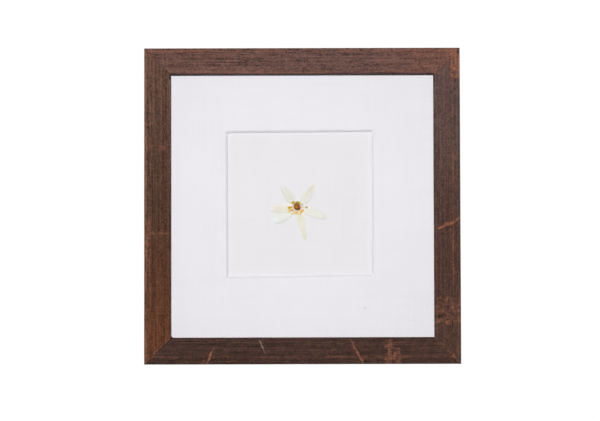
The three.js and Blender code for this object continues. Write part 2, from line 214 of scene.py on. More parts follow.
class Graph:
    """Builds the nodes of a material or a world."""

    def __init__(self, name, kind="materials"):
        self.owner = getattr(bpy.data, kind).new(name)
        self.owner.use_nodes = True
        self.tree = self.owner.node_tree
        self.tree.nodes.clear()

    def add(self, kind, inputs, **settings):
        made = self.tree.nodes.new("ShaderNode" + kind)
        for key, value in settings.items():
            setattr(made, key, value)
        for key, value in inputs.items():
            if isinstance(value, bpy.types.NodeSocket):
                self.tree.links.new(value, made.inputs[key])
            else:
                made.inputs[key].default_value = value
        return made

    def stored(self, name, output):
        return self.add("Attribute", {}, attribute_name=name).outputs[output]

    def place(self):
        """Object coordinates in millimetres"""
        coordinates = self.add("TexCoord", {})
        return self.scaled(coordinates.outputs["Object"], (1000, 1000, 1000))

    def scaled(self, vector, factors, offset=(0, 0, 0)):
        inputs = {0: vector, 1: factors, 2: offset}
        return self.add("VectorMath", inputs, operation="MULTIPLY_ADD").outputs[0]

    def noise(self, vector, scale=1, detail=3, roughness=0.5):
        inputs = {"Vector": vector, "Scale": scale, "Detail": detail, "Roughness": roughness}
        return self.add("TexNoise", inputs).outputs["Fac"]

    def stretched(self, vector, factors, offset, detail, roughness=0.5):
        """Noise with its own scale each way"""
        return self.noise(self.scaled(vector, factors, offset), 1, detail, roughness)

    def random(self, value):
        """A number from 0 to 1 for each whole value"""
        made = self.add("TexWhiteNoise", {"W": value}, noise_dimensions="1D")
        return made.outputs["Value"]

    def math(self, operation, first, second=0, third=0):
        inputs = {0: first, 1: second, 2: third}
        return self.add("Math", inputs, operation=operation).outputs[0]

    def times(self, first, second):
        return self.math("MULTIPLY", first, second)

    def around(self, value, gain):
        """How far value is from a half, times gain"""
        return self.math("MULTIPLY_ADD", value, gain, -gain / 2)

    def total(self, start, *values):
        for value in values:
            start = self.math("ADD", value, start)
        return start

    def remap(self, value, low, high, to_low=0, to_high=1):
        inputs = {0: value, 1: low, 2: high, 3: to_low, 4: to_high}
        made = self.add("MapRange", inputs, interpolation_type="SMOOTHSTEP")
        return made.outputs[0]

    def mix(self, factor, first, second):
        inputs = {0: factor, 6: first, 7: second}
        return self.add("Mix", inputs, data_type="RGBA").outputs[2]

    def either(self, parity, even, odd):
        return self.add("Mix", {0: parity, 2: even, 3: odd}, data_type="FLOAT").outputs[0]

    def shade(self, colour, factor):
        """A colour made lighter or darker by a factor"""
        colour = colour if isinstance(colour, bpy.types.NodeSocket) else colour[:3]
        return self.add("VectorMath", {0: colour, "Scale": factor}, operation="SCALE").outputs[0]

    def ramp(self, factor, stops):
        made = self.add("ValToRGB", {"Fac": factor})
        elements = made.color_ramp.elements
        while len(elements) < len(stops):
            elements.new(1)
        for element, (position, colour) in zip(elements, stops):
            element.position, element.color = position, colour
        return made.outputs["Color"]

    def bump(self, height, distance, strength=1):
        """distance is in millimetres for a height from 0 to 1"""
        inputs = {"Height": height, "Distance": distance * MM, "Strength": strength}
        return self.add("Bump", inputs).outputs["Normal"]

    def principled(self, **inputs):
        named = {key.replace("_", " "): value for key, value in inputs.items()}
        return self.add("BsdfPrincipled", named).outputs[0]

    def finish(self, shader):
        self.add("OutputMaterial", {"Surface": shader})
        return self.owner

    def surface(self, **inputs):
        return self.finish(self.principled(**inputs))


# The camera, the lights and the room
def make_camera():
    data = bpy.data.cameras.new("camera")
    data.lens = CAMERA_LENS
    data.sensor_width = CAMERA_SENSOR
    data.clip_start = 0.05
    camera = put("camera", data)
    camera.location = framed(CAMERA_X, RAIL_FRONT - CAMERA_DISTANCE, CAMERA_Z)
    turn = (90 + CAMERA_UP, CAMERA_ROLL, -CAMERA_RIGHT)
    camera.rotation_euler = [radians(angle) for angle in turn]
    bpy.context.scene.camera = camera


def make_lamp(name, azimuth, elevation, distance, width, height, watts, spread, shines):
    """A lamp that faces the frame. Azimuth 0 is in front of it and 90 on its right."""
    data = bpy.data.lights.new(name, "AREA")
    data.shape = "RECTANGLE"
    data.size, data.size_y = width, height
    data.energy = watts
    data.spread = radians(spread)
    lamp = put(name, data)
    a, e = radians(azimuth), radians(elevation)
    away = Vector((sin(a) * cos(e), -cos(a) * cos(e), sin(e)))
    lamp.location = framed(0, 0, 0) + away * distance
    lamp.rotation_mode = "QUATERNION"
    lamp.rotation_quaternion = away.to_track_quat("Z", "Y")
    lamp.visible_camera = False
    lamp.visible_glossy = lamp.visible_transmission = shines


def make_world():
    """A white room as the camera sees it, which adds only a little light from all round."""
    g = Graph("room", "worlds")
    seen = g.add("LightPath", {}).outputs["Is Camera Ray"]
    strength = g.add("MapRange", {"Value": seen, "To Min": ROOM_LIGHT, "To Max": ROOM_AS_SEEN})
    inputs = {"Color": (1, 1, 1, 1), "Strength": strength.outputs["Result"]}
    g.add("OutputWorld", {"Surface": g.add("Background", inputs).outputs["Background"]})
    bpy.context.scene.world = g.owner


def make_floor():
    g = Graph("pale_floor")
    speckle = g.noise(g.place(), 0.004, 2)
    colour = g.ramp(speckle, [(0.3, srgb(240, 239, 237)), (0.7, srgb(245, 244, 242))])
    material = g.surface(Base_Color=colour, Roughness=0.8, Emission_Color=colour,
                         Emission_Strength=FLOOR_GLOW)
    material.cycles.emission_sampling = "NONE"
    points = [
        framed(FLOOR_RADIUS * cos(angle), FLOOR_RADIUS * sin(angle), -FLOOR_BELOW)
        for angle in round_angles(FLOOR_SEGMENTS)
    ]
    mesh = bpy.data.meshes.new("floor")
    mesh.from_pydata(points, [], [range(FLOOR_SEGMENTS)])
    mesh.materials.append(material)
    floor = put("floor", mesh)
    floor.visible_diffuse = floor.visible_glossy = floor.visible_transmission = False


# The rails. Each is drawn as the bottom one and turned into place by quarter turns.
SIDES = ["bottom", "left", "top", "right"]
ALONG_STEP = 0.8
FACE_STEP = 0.8
HIDDEN_STEP = 3
ARC_STEPS = 4

# (depth, inset, radius of the worn arris, step to the next corner)
RAIL_CORNERS = [
    (BEVEL_DEPTH, 0, 1, 1.2),
    (RAIL_DEPTH, 0, 0.9, HIDDEN_STEP),
    (RAIL_DEPTH, REBATE_WALL, 0.3, HIDDEN_STEP),
    (LIP_DEPTH, REBATE_WALL, 0.3, 1.5),
    (LIP_DEPTH, FACE_WIDTH, 0.5, FACE_STEP),
    (0, FACE_WIDTH, 0.9, FACE_STEP),
    (0, BEVEL_WIDTH, 1.6, FACE_STEP),
]

# Tones at five places along each rail, from left to right or from top to bottom: the stain's own
# tones with painted light on top of them, lighter on the top rail as if lit from above and darker
# on the bottom one as if in shade.
TONE_PLACES = (-120, -60, 0, 60, 120)
RAIL_STAIN_AND_LIGHT = {
    "top": ((110, 81, 73), (108, 80, 73), (107, 80, 74), (105, 79, 73), (114, 82, 74)),
    "bottom": ((73, 54, 48), (72, 53, 47), (75, 55, 49), (74, 55, 48), (78, 57, 50)),
    "left": ((107, 79, 68), (92, 67, 57), (82, 59, 48), (87, 57, 42), (102, 63, 44)),
    "right": ((97, 77, 73), (94, 74, 68), (84, 63, 56), (82, 60, 52), (83, 61, 52)),
}
WORN_TONE = (146, 93, 70)
PALE_TONE = (128, 112, 106)
# The tone of dark places in the stain, also used for painted shade and shadow.
DARK_AND_SHADE_TONE = (44, 33, 29)

# The share of red, green, blue and alpha that the stain loses behind the face
BACK_LOSS = (0, 0.06, 0.26, 0)

# Lines of wear along each rail: inset, half its width and strength
WEAR_LINES = {
    "top": [(2.8, 1.9, 0.42), (23, 0.7, 0.45)],
    "bottom": [(7.2, 1.3, 0.36), (3, 2.4, 0.18)],
    "left": [(1.9, 0.8, 0.65), (5.7, 0.7, 0.28), (23.8, 1.2, 0.22)],
    "right": [(7.4, 1.2, 0.42), (23.8, 0.9, 0.15)],
}

# The stain's patterns: scale along the rail, across and into it, offset, detail and roughness
GRAIN_PATTERNS = {
    "rows": ((0.005, 0.55, 0.55), 17, 2, 0.6),
    "streaks": ((0.03, 0.6, 0.6), 0, 5, 0.62),
    "pores": ((0.16, 2.6, 2.6), 3, 3, 0.6),
    "ticks": ((1, 0.2, 0.2), 7, 2, 0.5),
    "mottle": ((0.12, 0.22, 0.22), 11, 3, 0.55),
    "specks": ((0.5, 0.8, 0.8), 13, 1, 0.5),
}
FACE_PATTERNS = ("ticks", "mottle", "specks")

# How much each of these patterns shows on each rail, in the same order
GRAIN_GAINS = {
    "top": (0.5, 0.62, 0.75, 0.28, 0.4, 0.72),
    "bottom": (0.5, 0.5, 0.48, 0.22, 0.35, 0.4),
    "left": (0.75, 0.4, 0.48, 0.22, 0.35, 0.64),
    "right": (0.45, 0.36, 0.42, 0.2, 0.3, 0.56),
}

# How strongly each rail is worn along the mitres at its ends, and how far from them
MITRE_WEAR = {
    "top": {"right": 0.9},
    "bottom": {"left": 0.1, "right": 0.4},
    "left": {"bottom": 0.5},
    "right": {"bottom": 0.6, "top": 1},
}
MITRE_WEAR_REACH = 0.8

# Single strokes of each kind: from [x, z] to [x, z], half their width and strength
STROKES = {
    "worn": [
        ((-82, -130.6), (-86.6, -139.6), 0.8, 0.4),
        ((-86.4, -139), (-89.8, -147.6), 1.1, 0.95),
        ((-92.6, -145.4), (-94, -147.6), 0.9, 0.6),
        ((45.4, -126.2), (51, -137), 1.1, 0.6),
        ((51, -137), (56.4, -148.2), 1.2, 0.76),
        ((128, -21.8), (139.4, -17.4), 1.2, 0.72),
        ((139.4, -17.4), (149.2, -11.2), 1.1, 0.8),
        ((134.6, -18), (141.6, -16), 1.5, 0.6),
        ((131, -25.4), (141, -22.6), 1.4, 0.3),
        ((-141.5, -25.7), (-125.5, -26.1), 1.1, 0.46),
        ((-70.2, 142), (-69.4, 133.4), 1.1, 0.42),
        ((125.4, -109.8), (149, -108.2), 1.1, 0.55),
    ],
    "pale": [((-40.6, -126.2), (-35.3, -138.7), 0.55, 0.9)],
    "dark_and_shade": [
        ((147.4, 147.6), (149.2, 149.2), 0.7, 0.9),
        # These two strokes, running down the lips from the sight's top corners, are painted shadow
        # of the top rail's lip.
        ((-124.6, 124.2), (-124.5, 119.6), 0.9, 1),
        ((124.6, 124.2), (124.5, 112), 0.6, 0.9),
        ((128.6, -104.4), (133.4, -103.4), 1.9, 0.9),
        ((138.5, -101), (144, -103.6), 1.3, 0.6),
    ],
}

# Worn patches: low [x, z], high [x, z] and strength
PATCHES = [
    ((77.6, -149.2), (84.4, -126), 0.56),
    ((84.4, -149.2), (92.4, -134), 0.48),
    ((125, -112.4), (149.2, -86), 0.4),
    ((139.6, 120), (149.2, 130), 0.6),
    ((139.8, 127), (149.2, 144.6), 0.9),
    ((126, 120), (142, 140), 0.28),
    ((104, 125), (143, 149.2), 0.3),
    ((-149.2, 51.5), (-124, 59), 0.34),
    ((-91, 138.6), (-80, 147), 0.3),
    ((-149.2, 136.5), (-137.5, 149.2), 0.3),
    ((-149.2, -56), (-143, -15), 0.46),
    ((-149.2, -29), (-124, -21.5), 0.16),
]
PATCH_SOFTNESS = 2.2

# Unevenness of the worn wood: scale along the rail, across and into it, and depth
UNEVENNESS = [((0.012, 0.06, 0.06), 0.05), ((0.09, 0.14, 0.14), 0.03), ((0.05, 0.8, 0.8), 0.02)]
MITRE_GAP = 0.06

# The opening's lower left corner is filled with a small cove, at these ends of two rails
COVE_ENDS = {"bottom": -1, "left": 1}
COVE_RADIUS = 3
COVE_REACH = 7


def rounded_outline(corners):
    """Points round a closed outline with rounded corners, and each point's outward direction."""
    places = [np.array(corner[:2], float) for corner in corners]
    count = len(corners)
    points = []
    for i, (_, _, radius, step) in enumerate(corners):
        here, after = places[i], places[(i + 1) % count]
        towards = [p - here for p in (places[i - 1], after)]
        start, end = (here + t / np.linalg.norm(t) * radius for t in towards)
        for k in range(ARC_STEPS + 1):
            t = k / ARC_STEPS
            points.append((1 - t) ** 2 * start + 2 * t * (1 - t) * here + t**2 * end)
        back = here - after
        goal = after + back / np.linalg.norm(back) * corners[(i + 1) % count][2]
        steps = max(1, round(np.linalg.norm(goal - end) / step))
        points.extend(end + (goal - end) * k / steps for k in range(1, steps))
    points = np.array(points)
    ahead = np.roll(points, -1, 0)
    tangent = ahead - np.roll(points, 1, 0)
    outward = np.stack([tangent[:, 1], -tangent[:, 0]], 1)
    outward /= np.linalg.norm(outward, axis=1)[:, None]
    area = np.sum(points[:, 0] * ahead[:, 1] - ahead[:, 0] * points[:, 1])
    return points, outward if area > 0 else -outward


def cove_shift(along, inset):
    """How far the sight edge reaches into the opening beside its coved corner."""
    from_corner = SIGHT - np.abs(along)
    start = 1 - sqrt(0.5)
    spread = start + (1 - start) * np.clip(from_corner / COVE_RADIUS, 0, 1)
    reach = COVE_RADIUS * (1 - np.sqrt(1 - (1 - spread) ** 2))
    share = smoothstep(inset, FACE_WIDTH - COVE_REACH, FACE_WIDTH)
    return np.where(from_corner < COVE_RADIUS, reach, 0) * share


def stroke_mask(places, start, end, half, wobble):
    line = np.subtract(end, start)
    share = np.clip((places - start) @ line / (line @ line), 0, 1)
    distance = np.linalg.norm(places - start - share[:, None] * line, axis=1)
    half = half * np.clip(1 + 0.6 * wobble, 0.3, 2)
    return 1 - smoothstep(distance, 0.4 * half, 1.5 * half)


def patch_mask(places, low, high, wobble):
    inside = np.minimum(places - low, high - places).min(1) + 1.6 * wobble
    return smoothstep(inside, -PATCH_SOFTNESS / 2, PATCH_SOFTNESS / 2)


def rail_marks(side, grain, places):
    """How worn, pale and dark each point is, from 0 to 1. The dark marks hold painted shade along
    the edges of the lips and painted shadow down from the sight's top corners, as well as dark
    places in the stain.
    """
    along, inset, depth = grain.T
    seed = SIDES.index(side) + 1
    coarse = ragged(grain * (0.045, 0.3, 0.3), seed)
    fine = ragged(grain * (0.32, 0.5, 0.5), seed + 10)
    crosswise = ragged(grain * (1.1, 0.16, 0.16), seed + 20)
    marks = {key: np.zeros(len(along)) for key in STROKES}
    front = depth < LIP_DEPTH
    for centre, half, strength in WEAR_LINES[side]:
        line = np.exp(-(((inset - centre - 0.35 * coarse) / half) ** 2)) * front
        marks["worn"] += strength * line * np.clip(0.88 + 0.7 * coarse + 0.5 * fine, 0, 1.5)
    from_mitre = (OUTER / 2 - inset - np.abs(along)) / sqrt(2)
    x, z = places.T
    ends = {"left": x < 0, "right": x > 0, "top": z > 0, "bottom": z < 0}
    for end, strength in MITRE_WEAR[side].items():
        line = np.exp(-((from_mitre / MITRE_WEAR_REACH) ** 2)) * front * ends[end]
        marks["worn"] += strength * line * np.clip(0.8 + 1.2 * fine, 0, 1.4)
    for kind, strokes in STROKES.items():
        for start, end, half, strength in strokes:
            mask = stroke_mask(places, start, end, half, fine + crosswise)
            mask = mask * np.clip(0.9 + 0.7 * fine, 0, 1) * front
            marks[kind] = np.maximum(marks[kind], strength * mask)
    texture = np.clip(0.7 + 0.8 * crosswise + 0.7 * fine, 0, 1.3) * front
    for low, high, strength in PATCHES:
        mask = patch_mask(places, low, high, fine)
        marks["worn"] = np.maximum(marks["worn"], strength * mask * texture)
    marks["dark_and_shade"] += 0.2 * smoothstep(coarse, 0.1, 0.7)
    # Painted shade along the edge of each lip: strong on the top rail, where it stands for the
    # lip's shaded underside, and faint on the others.
    shaded_lip_side = smoothstep(inset, FACE_WIDTH - 0.9, FACE_WIDTH - 0.4)
    marks["dark_and_shade"] += shaded_lip_side * (0.9 if side == "top" else 0.2)
    return marks


def rail_stain_and_light(side, depth, places):
    """The stain's tone with painted light in it, which drifts along the rail and is warmer behind
    the face. The top rail is painted lighter and the bottom rail darker.
    """
    way = places[:, 0] if side in ("top", "bottom") else -places[:, 1]
    stops = np.array([srgb(*tone) for tone in RAIL_STAIN_AND_LIGHT[side]])
    tones = np.stack([np.interp(way, TONE_PLACES, stops[:, k]) for k in range(4)], 1)
    return tones * (1 - smoothstep(depth, 3, 8)[:, None] * BACK_LOSS)


def make_rail(side):
    outline, outward = rounded_outline(RAIL_CORNERS)
    ring = len(outline)
    steps = round(OUTER / ALONG_STEP)
    depth, inset = np.tile(outline, (steps + 1, 1)).T
    facing = np.tile(outward, (steps + 1, 1))
    share = np.repeat(np.linspace(-1, 1, steps + 1), ring)
    along = share * (OUTER / 2 - inset - MITRE_GAP)
    if side in COVE_ENDS:
        at_cove = np.sign(along) == COVE_ENDS[side]
        inset = inset + np.where(at_cove, cove_shift(along, inset), 0)
        along = share * (OUTER / 2 - inset - MITRE_GAP)
    seed = SIDES.index(side) + 1
    grain = np.stack([along, inset, depth], 1)
    hollows = sum(
        deep * (ragged(grain * scale, seed + 3 * k) + 1)
        for k, (scale, deep) in enumerate(UNEVENNESS)
    )
    shown = (facing[:, 0] < -0.2) | (inset < 1) | (inset > REBATE_WALL + 1)
    sink = np.where(shown, 1, 0.25)[:, None] * hollows[:, None] * facing
    x, z = turned_by(along, inset - sink[:, 1] - OUTER / 2, 90 * SIDES.index(side))
    points = np.stack([x, RAIL_FRONT + depth - sink[:, 0], z + MIDDLE_Z], 1) * MM
    faces = grid_faces(steps + 1, ring, closed_columns=True)
    faces.append(tuple(range(ring)))
    faces.append(tuple(steps * ring + k for k in reversed(range(ring))))
    piece = new_piece("worn_rail_" + side, points, faces, stained_wood(side),
                      ["rail_" + side])
    places = np.stack([x, z], 1)
    for key, values in rail_marks(side, grain, places).items():
        paint(piece, key, np.clip(values, 0, 1))
    paint(piece, "tone", rail_stain_and_light(side, depth, places))
    paint(piece, "grain", grain)


def stained_wood(side):
    """Dark stain on open grain: streaks along the rail, fine ticks across it, and worn places
    where the stain has rubbed off."""
    g = Graph("stained_wood_" + side)
    seed = 40 * (SIDES.index(side) + 1)
    grain = g.stored("grain", "Vector")
    patterns = {
        name: g.stretched(grain, scale, (seed, offset, 0), detail, roughness)
        for name, (scale, offset, detail, roughness) in GRAIN_PATTERNS.items()
    }
    streaks, pores, ticks = (patterns[name] for name in ("streaks", "pores", "ticks"))
    depth = g.add("SeparateXYZ", {0: grain}).outputs["Z"]
    fade = g.remap(depth, 2, 5, 1, 0.3)
    shares = []
    for name, gain in zip(GRAIN_PATTERNS, GRAIN_GAINS[side]):
        share = g.around(patterns[name], gain)
        shares.append(g.times(share, fade) if name in FACE_PATTERNS else share)
    variation = g.total(0.5, *shares)
    level = g.remap(variation, 0, 1, 0.1, 1.48)
    # The tone holds painted light as well as the stain: lighter on the top rail, darker on the
    # bottom rail.
    stained = g.shade(g.stored("tone", "Color"), level)
    warmth = g.remap(variation, 0.45, 0.95, 0, 0.35)
    stained = g.mix(warmth, stained, g.shade(srgb(*WORN_TONE), 0.72))
    rub = g.total(g.stored("worn", "Fac"), g.around(pores, 0.7), g.around(ticks, 0.45))
    worn = g.shade(srgb(*WORN_TONE), g.remap(streaks, 0.3, 0.7, 0.75, 1.15))
    colour = g.mix(g.remap(rub, 0.12, 0.85, 0, 0.95), stained, worn)
    scratch = g.total(g.stored("pale", "Fac"), g.around(ticks, 0.4))
    colour = g.mix(g.remap(scratch, 0.2, 0.8), colour, srgb(*PALE_TONE))
    # Dark places in the stain and its pores, together with painted shade along the lips and
    # painted shadow at the sight's top corners.
    dark_and_shade = g.total(g.stored("dark_and_shade", "Fac"), g.around(pores, 0.5))
    colour = g.mix(g.remap(dark_and_shade, 0.1, 1, 0, 0.85), colour, srgb(*DARK_AND_SHADE_TONE))
    roughness = g.remap(variation, 0.2, 0.8, 0.5, 0.68)
    relief = g.total(g.times(streaks, 0.6), g.around(pores, 0.6),
                     g.times(g.around(ticks, 0.3), fade))
    return g.surface(
        Base_Color=colour, Roughness=roughness, Specular_IOR_Level=0.35,
        Normal=g.bump(relief, 0.35),
    )


# The linen
THREAD_PITCH = 0.62
THREAD_WANDER = 6
THREAD_UNDER = 0.55
SLUB = 0.075
LINT_PLACE = (59.1, -96.7)
LINT_TONE = (210, 208, 212)


def linen(name, tone, seed):
    """Plain weave with uneven threads: each thread has its own thickness and tone. A small piece
    of lint clings to it in one place."""
    g = Graph(name)
    place = g.place()
    wander = g.around(g.stretched(place, (0.03, 0.03, 0.03), (seed, 0, 0), 2), THREAD_WANDER)
    shifted = g.add("VectorMath", {0: place, 1: (seed, 0, seed)}, operation="ADD").outputs[0]
    apart = g.add("SeparateXYZ", {0: shifted})
    across, up = (
        g.math("ADD", g.math("DIVIDE", apart.outputs[axis], THREAD_PITCH), wander)
        for axis in ("X", "Z")
    )
    warp_index, weft_index = g.math("FLOOR", across), g.math("FLOOR", up)
    warp_round, weft_round = (
        g.math("SINE", g.times(g.math("FRACT", value), pi))
        for value in (across, up)
    )
    parity = g.math("MODULO", g.math("ABSOLUTE", g.math("ADD", warp_index, weft_index)), 2)
    warp_top = g.math("MAXIMUM", warp_round, g.times(weft_round, THREAD_UNDER))
    weft_top = g.math("MAXIMUM", weft_round, g.times(warp_round, THREAD_UNDER))
    top = g.either(parity, warp_top, weft_top)
    own = g.either(parity, g.random(warp_index), g.random(g.math("ADD", weft_index, 0.37)))
    slub_up = g.stretched(place, (1.1, 1, 0.035), (seed, 2, 0), 3, 0.6)
    slub_across = g.stretched(place, (0.035, 1, 1.1), (seed, 5, 0), 3, 0.6)
    cloud = g.noise(place, 0.03, 3)
    # The colour is a little lighter on the threads' crowns and darker where they dip under each
    # other: painted shade of the weave, besides each thread's own tone.
    level = g.total(
        1, g.math("MULTIPLY_ADD", top, 0.04, -0.028), g.around(own, 0.035),
        g.around(slub_up, SLUB), g.around(slub_across, SLUB), g.around(cloud, 0.04),
    )
    height = g.total(g.times(top, 0.8), g.around(own, 0.35), g.around(slub_up, 0.5))
    lint = Vector((LINT_PLACE[0], 0, LINT_PLACE[1] + MIDDLE_Z))
    flat = g.scaled(place, (1, 0, 1))
    away = g.add("VectorMath", {0: flat, 1: lint}, operation="DISTANCE").outputs["Value"]
    ragged_away = g.total(away, g.around(g.noise(place, 0.9, 2), 1.2))
    cover = g.remap(ragged_away, 0.6, 1.5, 0.8, 0)
    return g.surface(
        Base_Color=g.mix(cover, g.shade(srgb(*tone), level), srgb(*LINT_TONE)), Roughness=0.95,
        Specular_IOR_Level=0.2, Sheen_Weight=0.12, Sheen_Roughness=0.5,
        Normal=g.bump(height, 0.12, 0.7),
    )


MAT_TONE = (236, 231, 237)
MOUNT_TONE = (233, 228, 232)
MAT_SIDE_STEPS = 110
MAT_RING_STEPS = 26
MAT_ARRIS = 0.4
MAT_SAG = 0.03

# The rolled edge round the window: how far out from the middle of the slope, and how deep
MAT_ROLL = [
    (1.9, 0), (1.45, 0.03), (1.1, 0.14), (0.75, 0.36), (0.4, 0.68), (0, 1.08),
    (-0.4, 1.48), (-0.72, 1.86), (-0.86, 2.14), (-0.84, 2.36), (-0.7, 2.4),
]


def square_ring(corners):
    """Points at equal steps along the four sides between corners."""
    shares = np.arange(MAT_SIDE_STEPS)[:, None] / MAT_SIDE_STEPS
    return np.concatenate([
        start + (end - start) * shares for start, end in zip(corners, np.roll(corners, -1, 0))
    ])


def window_ring(outward):
    """The window's outline, moved outward and with slightly softened corners."""
    corners = np.array(WINDOW_CORNERS)
    ring = square_ring(corners + np.sign(corners - corners.mean(0)) * outward)
    return (np.roll(ring, 1, 0) + ring * 4 + np.roll(ring, -1, 0)) / 6


def make_mat():
    """The board and its linen, which rolls over the edge of the window."""
    half = PANE / 2
    outer = square_ring(np.array([(-half, half), (half, half), (half, -half), (-half, -half)]))
    edge, inner = outer * (1 - MAT_ARRIS / half), window_ring(MAT_ROLL[0][0])
    rings = [(outer * (1 - 0.3 / half), MAT_THICK), (outer, MAT_THICK - MAT_ARRIS),
             (outer, MAT_ARRIS)]
    rings += [(edge + (inner - edge) * k / MAT_RING_STEPS, 0) for k in range(MAT_RING_STEPS)]
    rings += [(window_ring(outward), deep) for outward, deep in MAT_ROLL]
    points = []
    for ring, deep in rings:
        for x, z in ring:
            sag = MAT_SAG * (noise.noise((x * 0.03, 1.7, z * 0.03)) + 1) if deep < 1 else 0
            points.append(framed(x, MAT_FACE + deep + sag, z))
    faces = grid_faces(len(rings), 4 * MAT_SIDE_STEPS, closed_rows=True, closed_columns=True)
    new_piece("wrapped_mat", points, faces, linen("mat_linen", MAT_TONE, 0),
              ["linen_mat"])


def dress_node(name, material, rounding):
    """Gives a CAD node its material and rounds its edges."""
    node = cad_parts[name]
    node.data.materials.clear()
    node.data.materials.append(material)
    if rounding:
        bevel = node.modifiers.new("softened edges", "BEVEL")
        bevel.width = rounding * MM
        bevel.segments = 3
        bevel.limit_method = "ANGLE"
        bevel.angle_limit = radians(35)


# The glass
def clear_glass():
    """Clear glass. Light for what lies behind it passes straight through."""
    g = Graph("clear_glass")
    smudge = g.noise(g.place(), 0.015, 4, 0.6)
    tint = g.ramp(smudge, [(0.3, (0.985, 0.995, 0.99, 1)), (0.7, (0.995, 1, 0.997, 1))])
    glass = g.principled(Base_Color=tint, Roughness=0, IOR=1.5, Transmission_Weight=1)
    clear = g.add("BsdfTransparent", {"Color": (0.955, 0.965, 0.96, 1)}).outputs[0]
    path = g.add("LightPath", {})
    passing = g.math("MAXIMUM", path.outputs["Is Shadow Ray"], path.outputs["Is Diffuse Ray"])
    return g.finish(g.add("MixShader", {0: passing, 1: glass, 2: clear}).outputs[0])


# The flower, drawn about its own middle. A height over the mount's face is towards -Y.
PETAL_THICK = 0.26
PETAL_ROOT = 4.2
LOW_LEVEL = 0.44
HIGH_LEVEL = 1.02
PETAL_ROWS = 72
PETAL_COLUMNS = 25
PETAL_TIP_ROUNDING = 0.1
PETAL_WAVE = 0.05
PETAL_RIBS = 0.018
PETAL_MIDRIB = 0.04
STRAW = (226, 212, 160)
TAN = (206, 178, 138)
RIM_TONE = (240, 238, 236)

# Outlines as on the solids, with the tone of each petal's body, root and tip, how far its deeper
# toned middle leans to one side, and its stains as (share of its length, sideways share of its
# width, radius, tone, strength)
PETALS = [
    dict(name="petal_upper_left", root=126, angle=126.2, reach=24.6, bend=0.2, high=False,
         half_widths=[2.2, 4.5, 4.3, 3.4, 1.6], lean=0.1, body=(230, 226, 214),
         foot=(231, 224, 207), tip=(231, 228, 225), stains=[]),
    dict(name="petal_upper_right", root=36, angle=53, reach=26.6, bend=-1, high=True,
         half_widths=[2.2, 4.1, 3.7, 3.2, 1.7], lean=0.18, body=(232, 226, 212),
         foot=(231, 229, 217), tip=(234, 229, 216),
         stains=[(0.86, 0.1, 2, TAN, 0.36), (0.7, 0.25, 2.6, TAN, 0.16),
                 (0.5, 0.4, 2.6, STRAW, 0.3)]),
    dict(name="petal_right", root=-28, angle=-20.2, reach=29.3, bend=0.2, high=False,
         half_widths=[2.2, 3.8, 4.3, 4.1, 2.5], lean=0, body=(236, 233, 221),
         foot=(238, 235, 230), tip=(236, 233, 224),
         stains=[(0.9, 0.1, 1.5, (216, 212, 186), 0.5)]),
    dict(name="petal_bottom", root=-62, angle=-76.7, reach=32.2, bend=0.3, high=True,
         half_widths=[2, 3.5, 3.7, 2.6, 1.2], lean=-0.18, body=(235, 229, 213),
         foot=(236, 219, 184), tip=(233, 224, 199),
         stains=[(0.68, -0.2, 3, (224, 218, 192), 0.3),
                 (0.3, -0.1, 4, (232, 212, 164), 0.22)]),
    dict(name="petal_left", root=190, angle=184.4, reach=27.2, bend=0.5, high=True,
         half_widths=[2.1, 3.9, 4.1, 3.1, 0.9], lean=0.1, body=(235, 229, 215),
         foot=(231, 216, 172), tip=(243, 239, 237), stains=[(0.55, -0.35, 3, STRAW, 0.2)]),
    dict(name="petal_lower_left", root=214, angle=209.8, reach=26.7, bend=0.5, high=False,
         half_widths=[2, 4.5, 5.4, 5.4, 3.4], lean=0, body=(237, 234, 227),
         foot=(234, 228, 212), tip=(238, 238, 235), stains=[]),
]


def on_mount(x, y, z):
    """A place from one measured from the flower's middle on the mount's face."""
    return framed(x + FLOWER_CENTRE[0], MOUNT_FACE + y, z + FLOWER_CENTRE[1])


def petal_frame(spec, t):
    """The petal's middle and its direction at t, from 0 at the root to 1 at the tip."""
    def polar(angle, radius):
        return radius * np.array([cos(radians(angle)), sin(radians(angle))])

    start, tip = polar(spec["root"], PETAL_ROOT), polar(spec["angle"], spec["reach"])
    along = (tip - start) / np.linalg.norm(tip - start)
    sideways = np.array([-along[1], along[0]])
    middle = (start + tip) / 2 + sideways * 2 * spec["bend"]
    centre = (1 - t) ** 2 * start + 2 * t * (1 - t) * middle + t**2 * tip
    tangent = 2 * (1 - t) * (middle - start) + 2 * t * (tip - middle)
    return centre, tangent / np.linalg.norm(tangent)


def petal_half_width(spec, t):
    into_tip = max(0, (t - 1) / PETAL_TIP_ROUNDING + 1)
    return catmull_rom(spec["half_widths"], t) * sqrt(max(0, 1 - 0.93 * into_tip**2))


def petal_level(spec, t, s):
    """Height of the petal's mid surface. Its edges and tip lie nearer the mount."""
    if spec["high"]:
        return HIGH_LEVEL - 0.65 * smoothstep(t, 0.45, 1) - 0.14 * s**2
    return LOW_LEVEL - 0.12 * smoothstep(t, 0.5, 1) - 0.3 * s**4


def nearer(tone, other, share):
    return tone + (np.array(srgb(*other)) - tone) * share


def petal_tone(spec, t, s, half):
    tone = np.array(srgb(*spec["body"]))
    tone = nearer(tone, spec["foot"], 1 - smoothstep(t, 0, 0.3))
    tone = nearer(tone, spec["tip"], smoothstep(t, 0.72, 1))
    for at, side, radius, stain, strength in spec["stains"]:
        away = hypot((t - at) * spec["reach"], (s - side) * half)
        tone = nearer(tone, stain, strength * (1 - smoothstep(away, 0.2 * radius, 1.1 * radius)))
    return nearer(tone, RIM_TONE, 0.7 * smoothstep(abs(s - spec["lean"]), 0.5, 1.1))


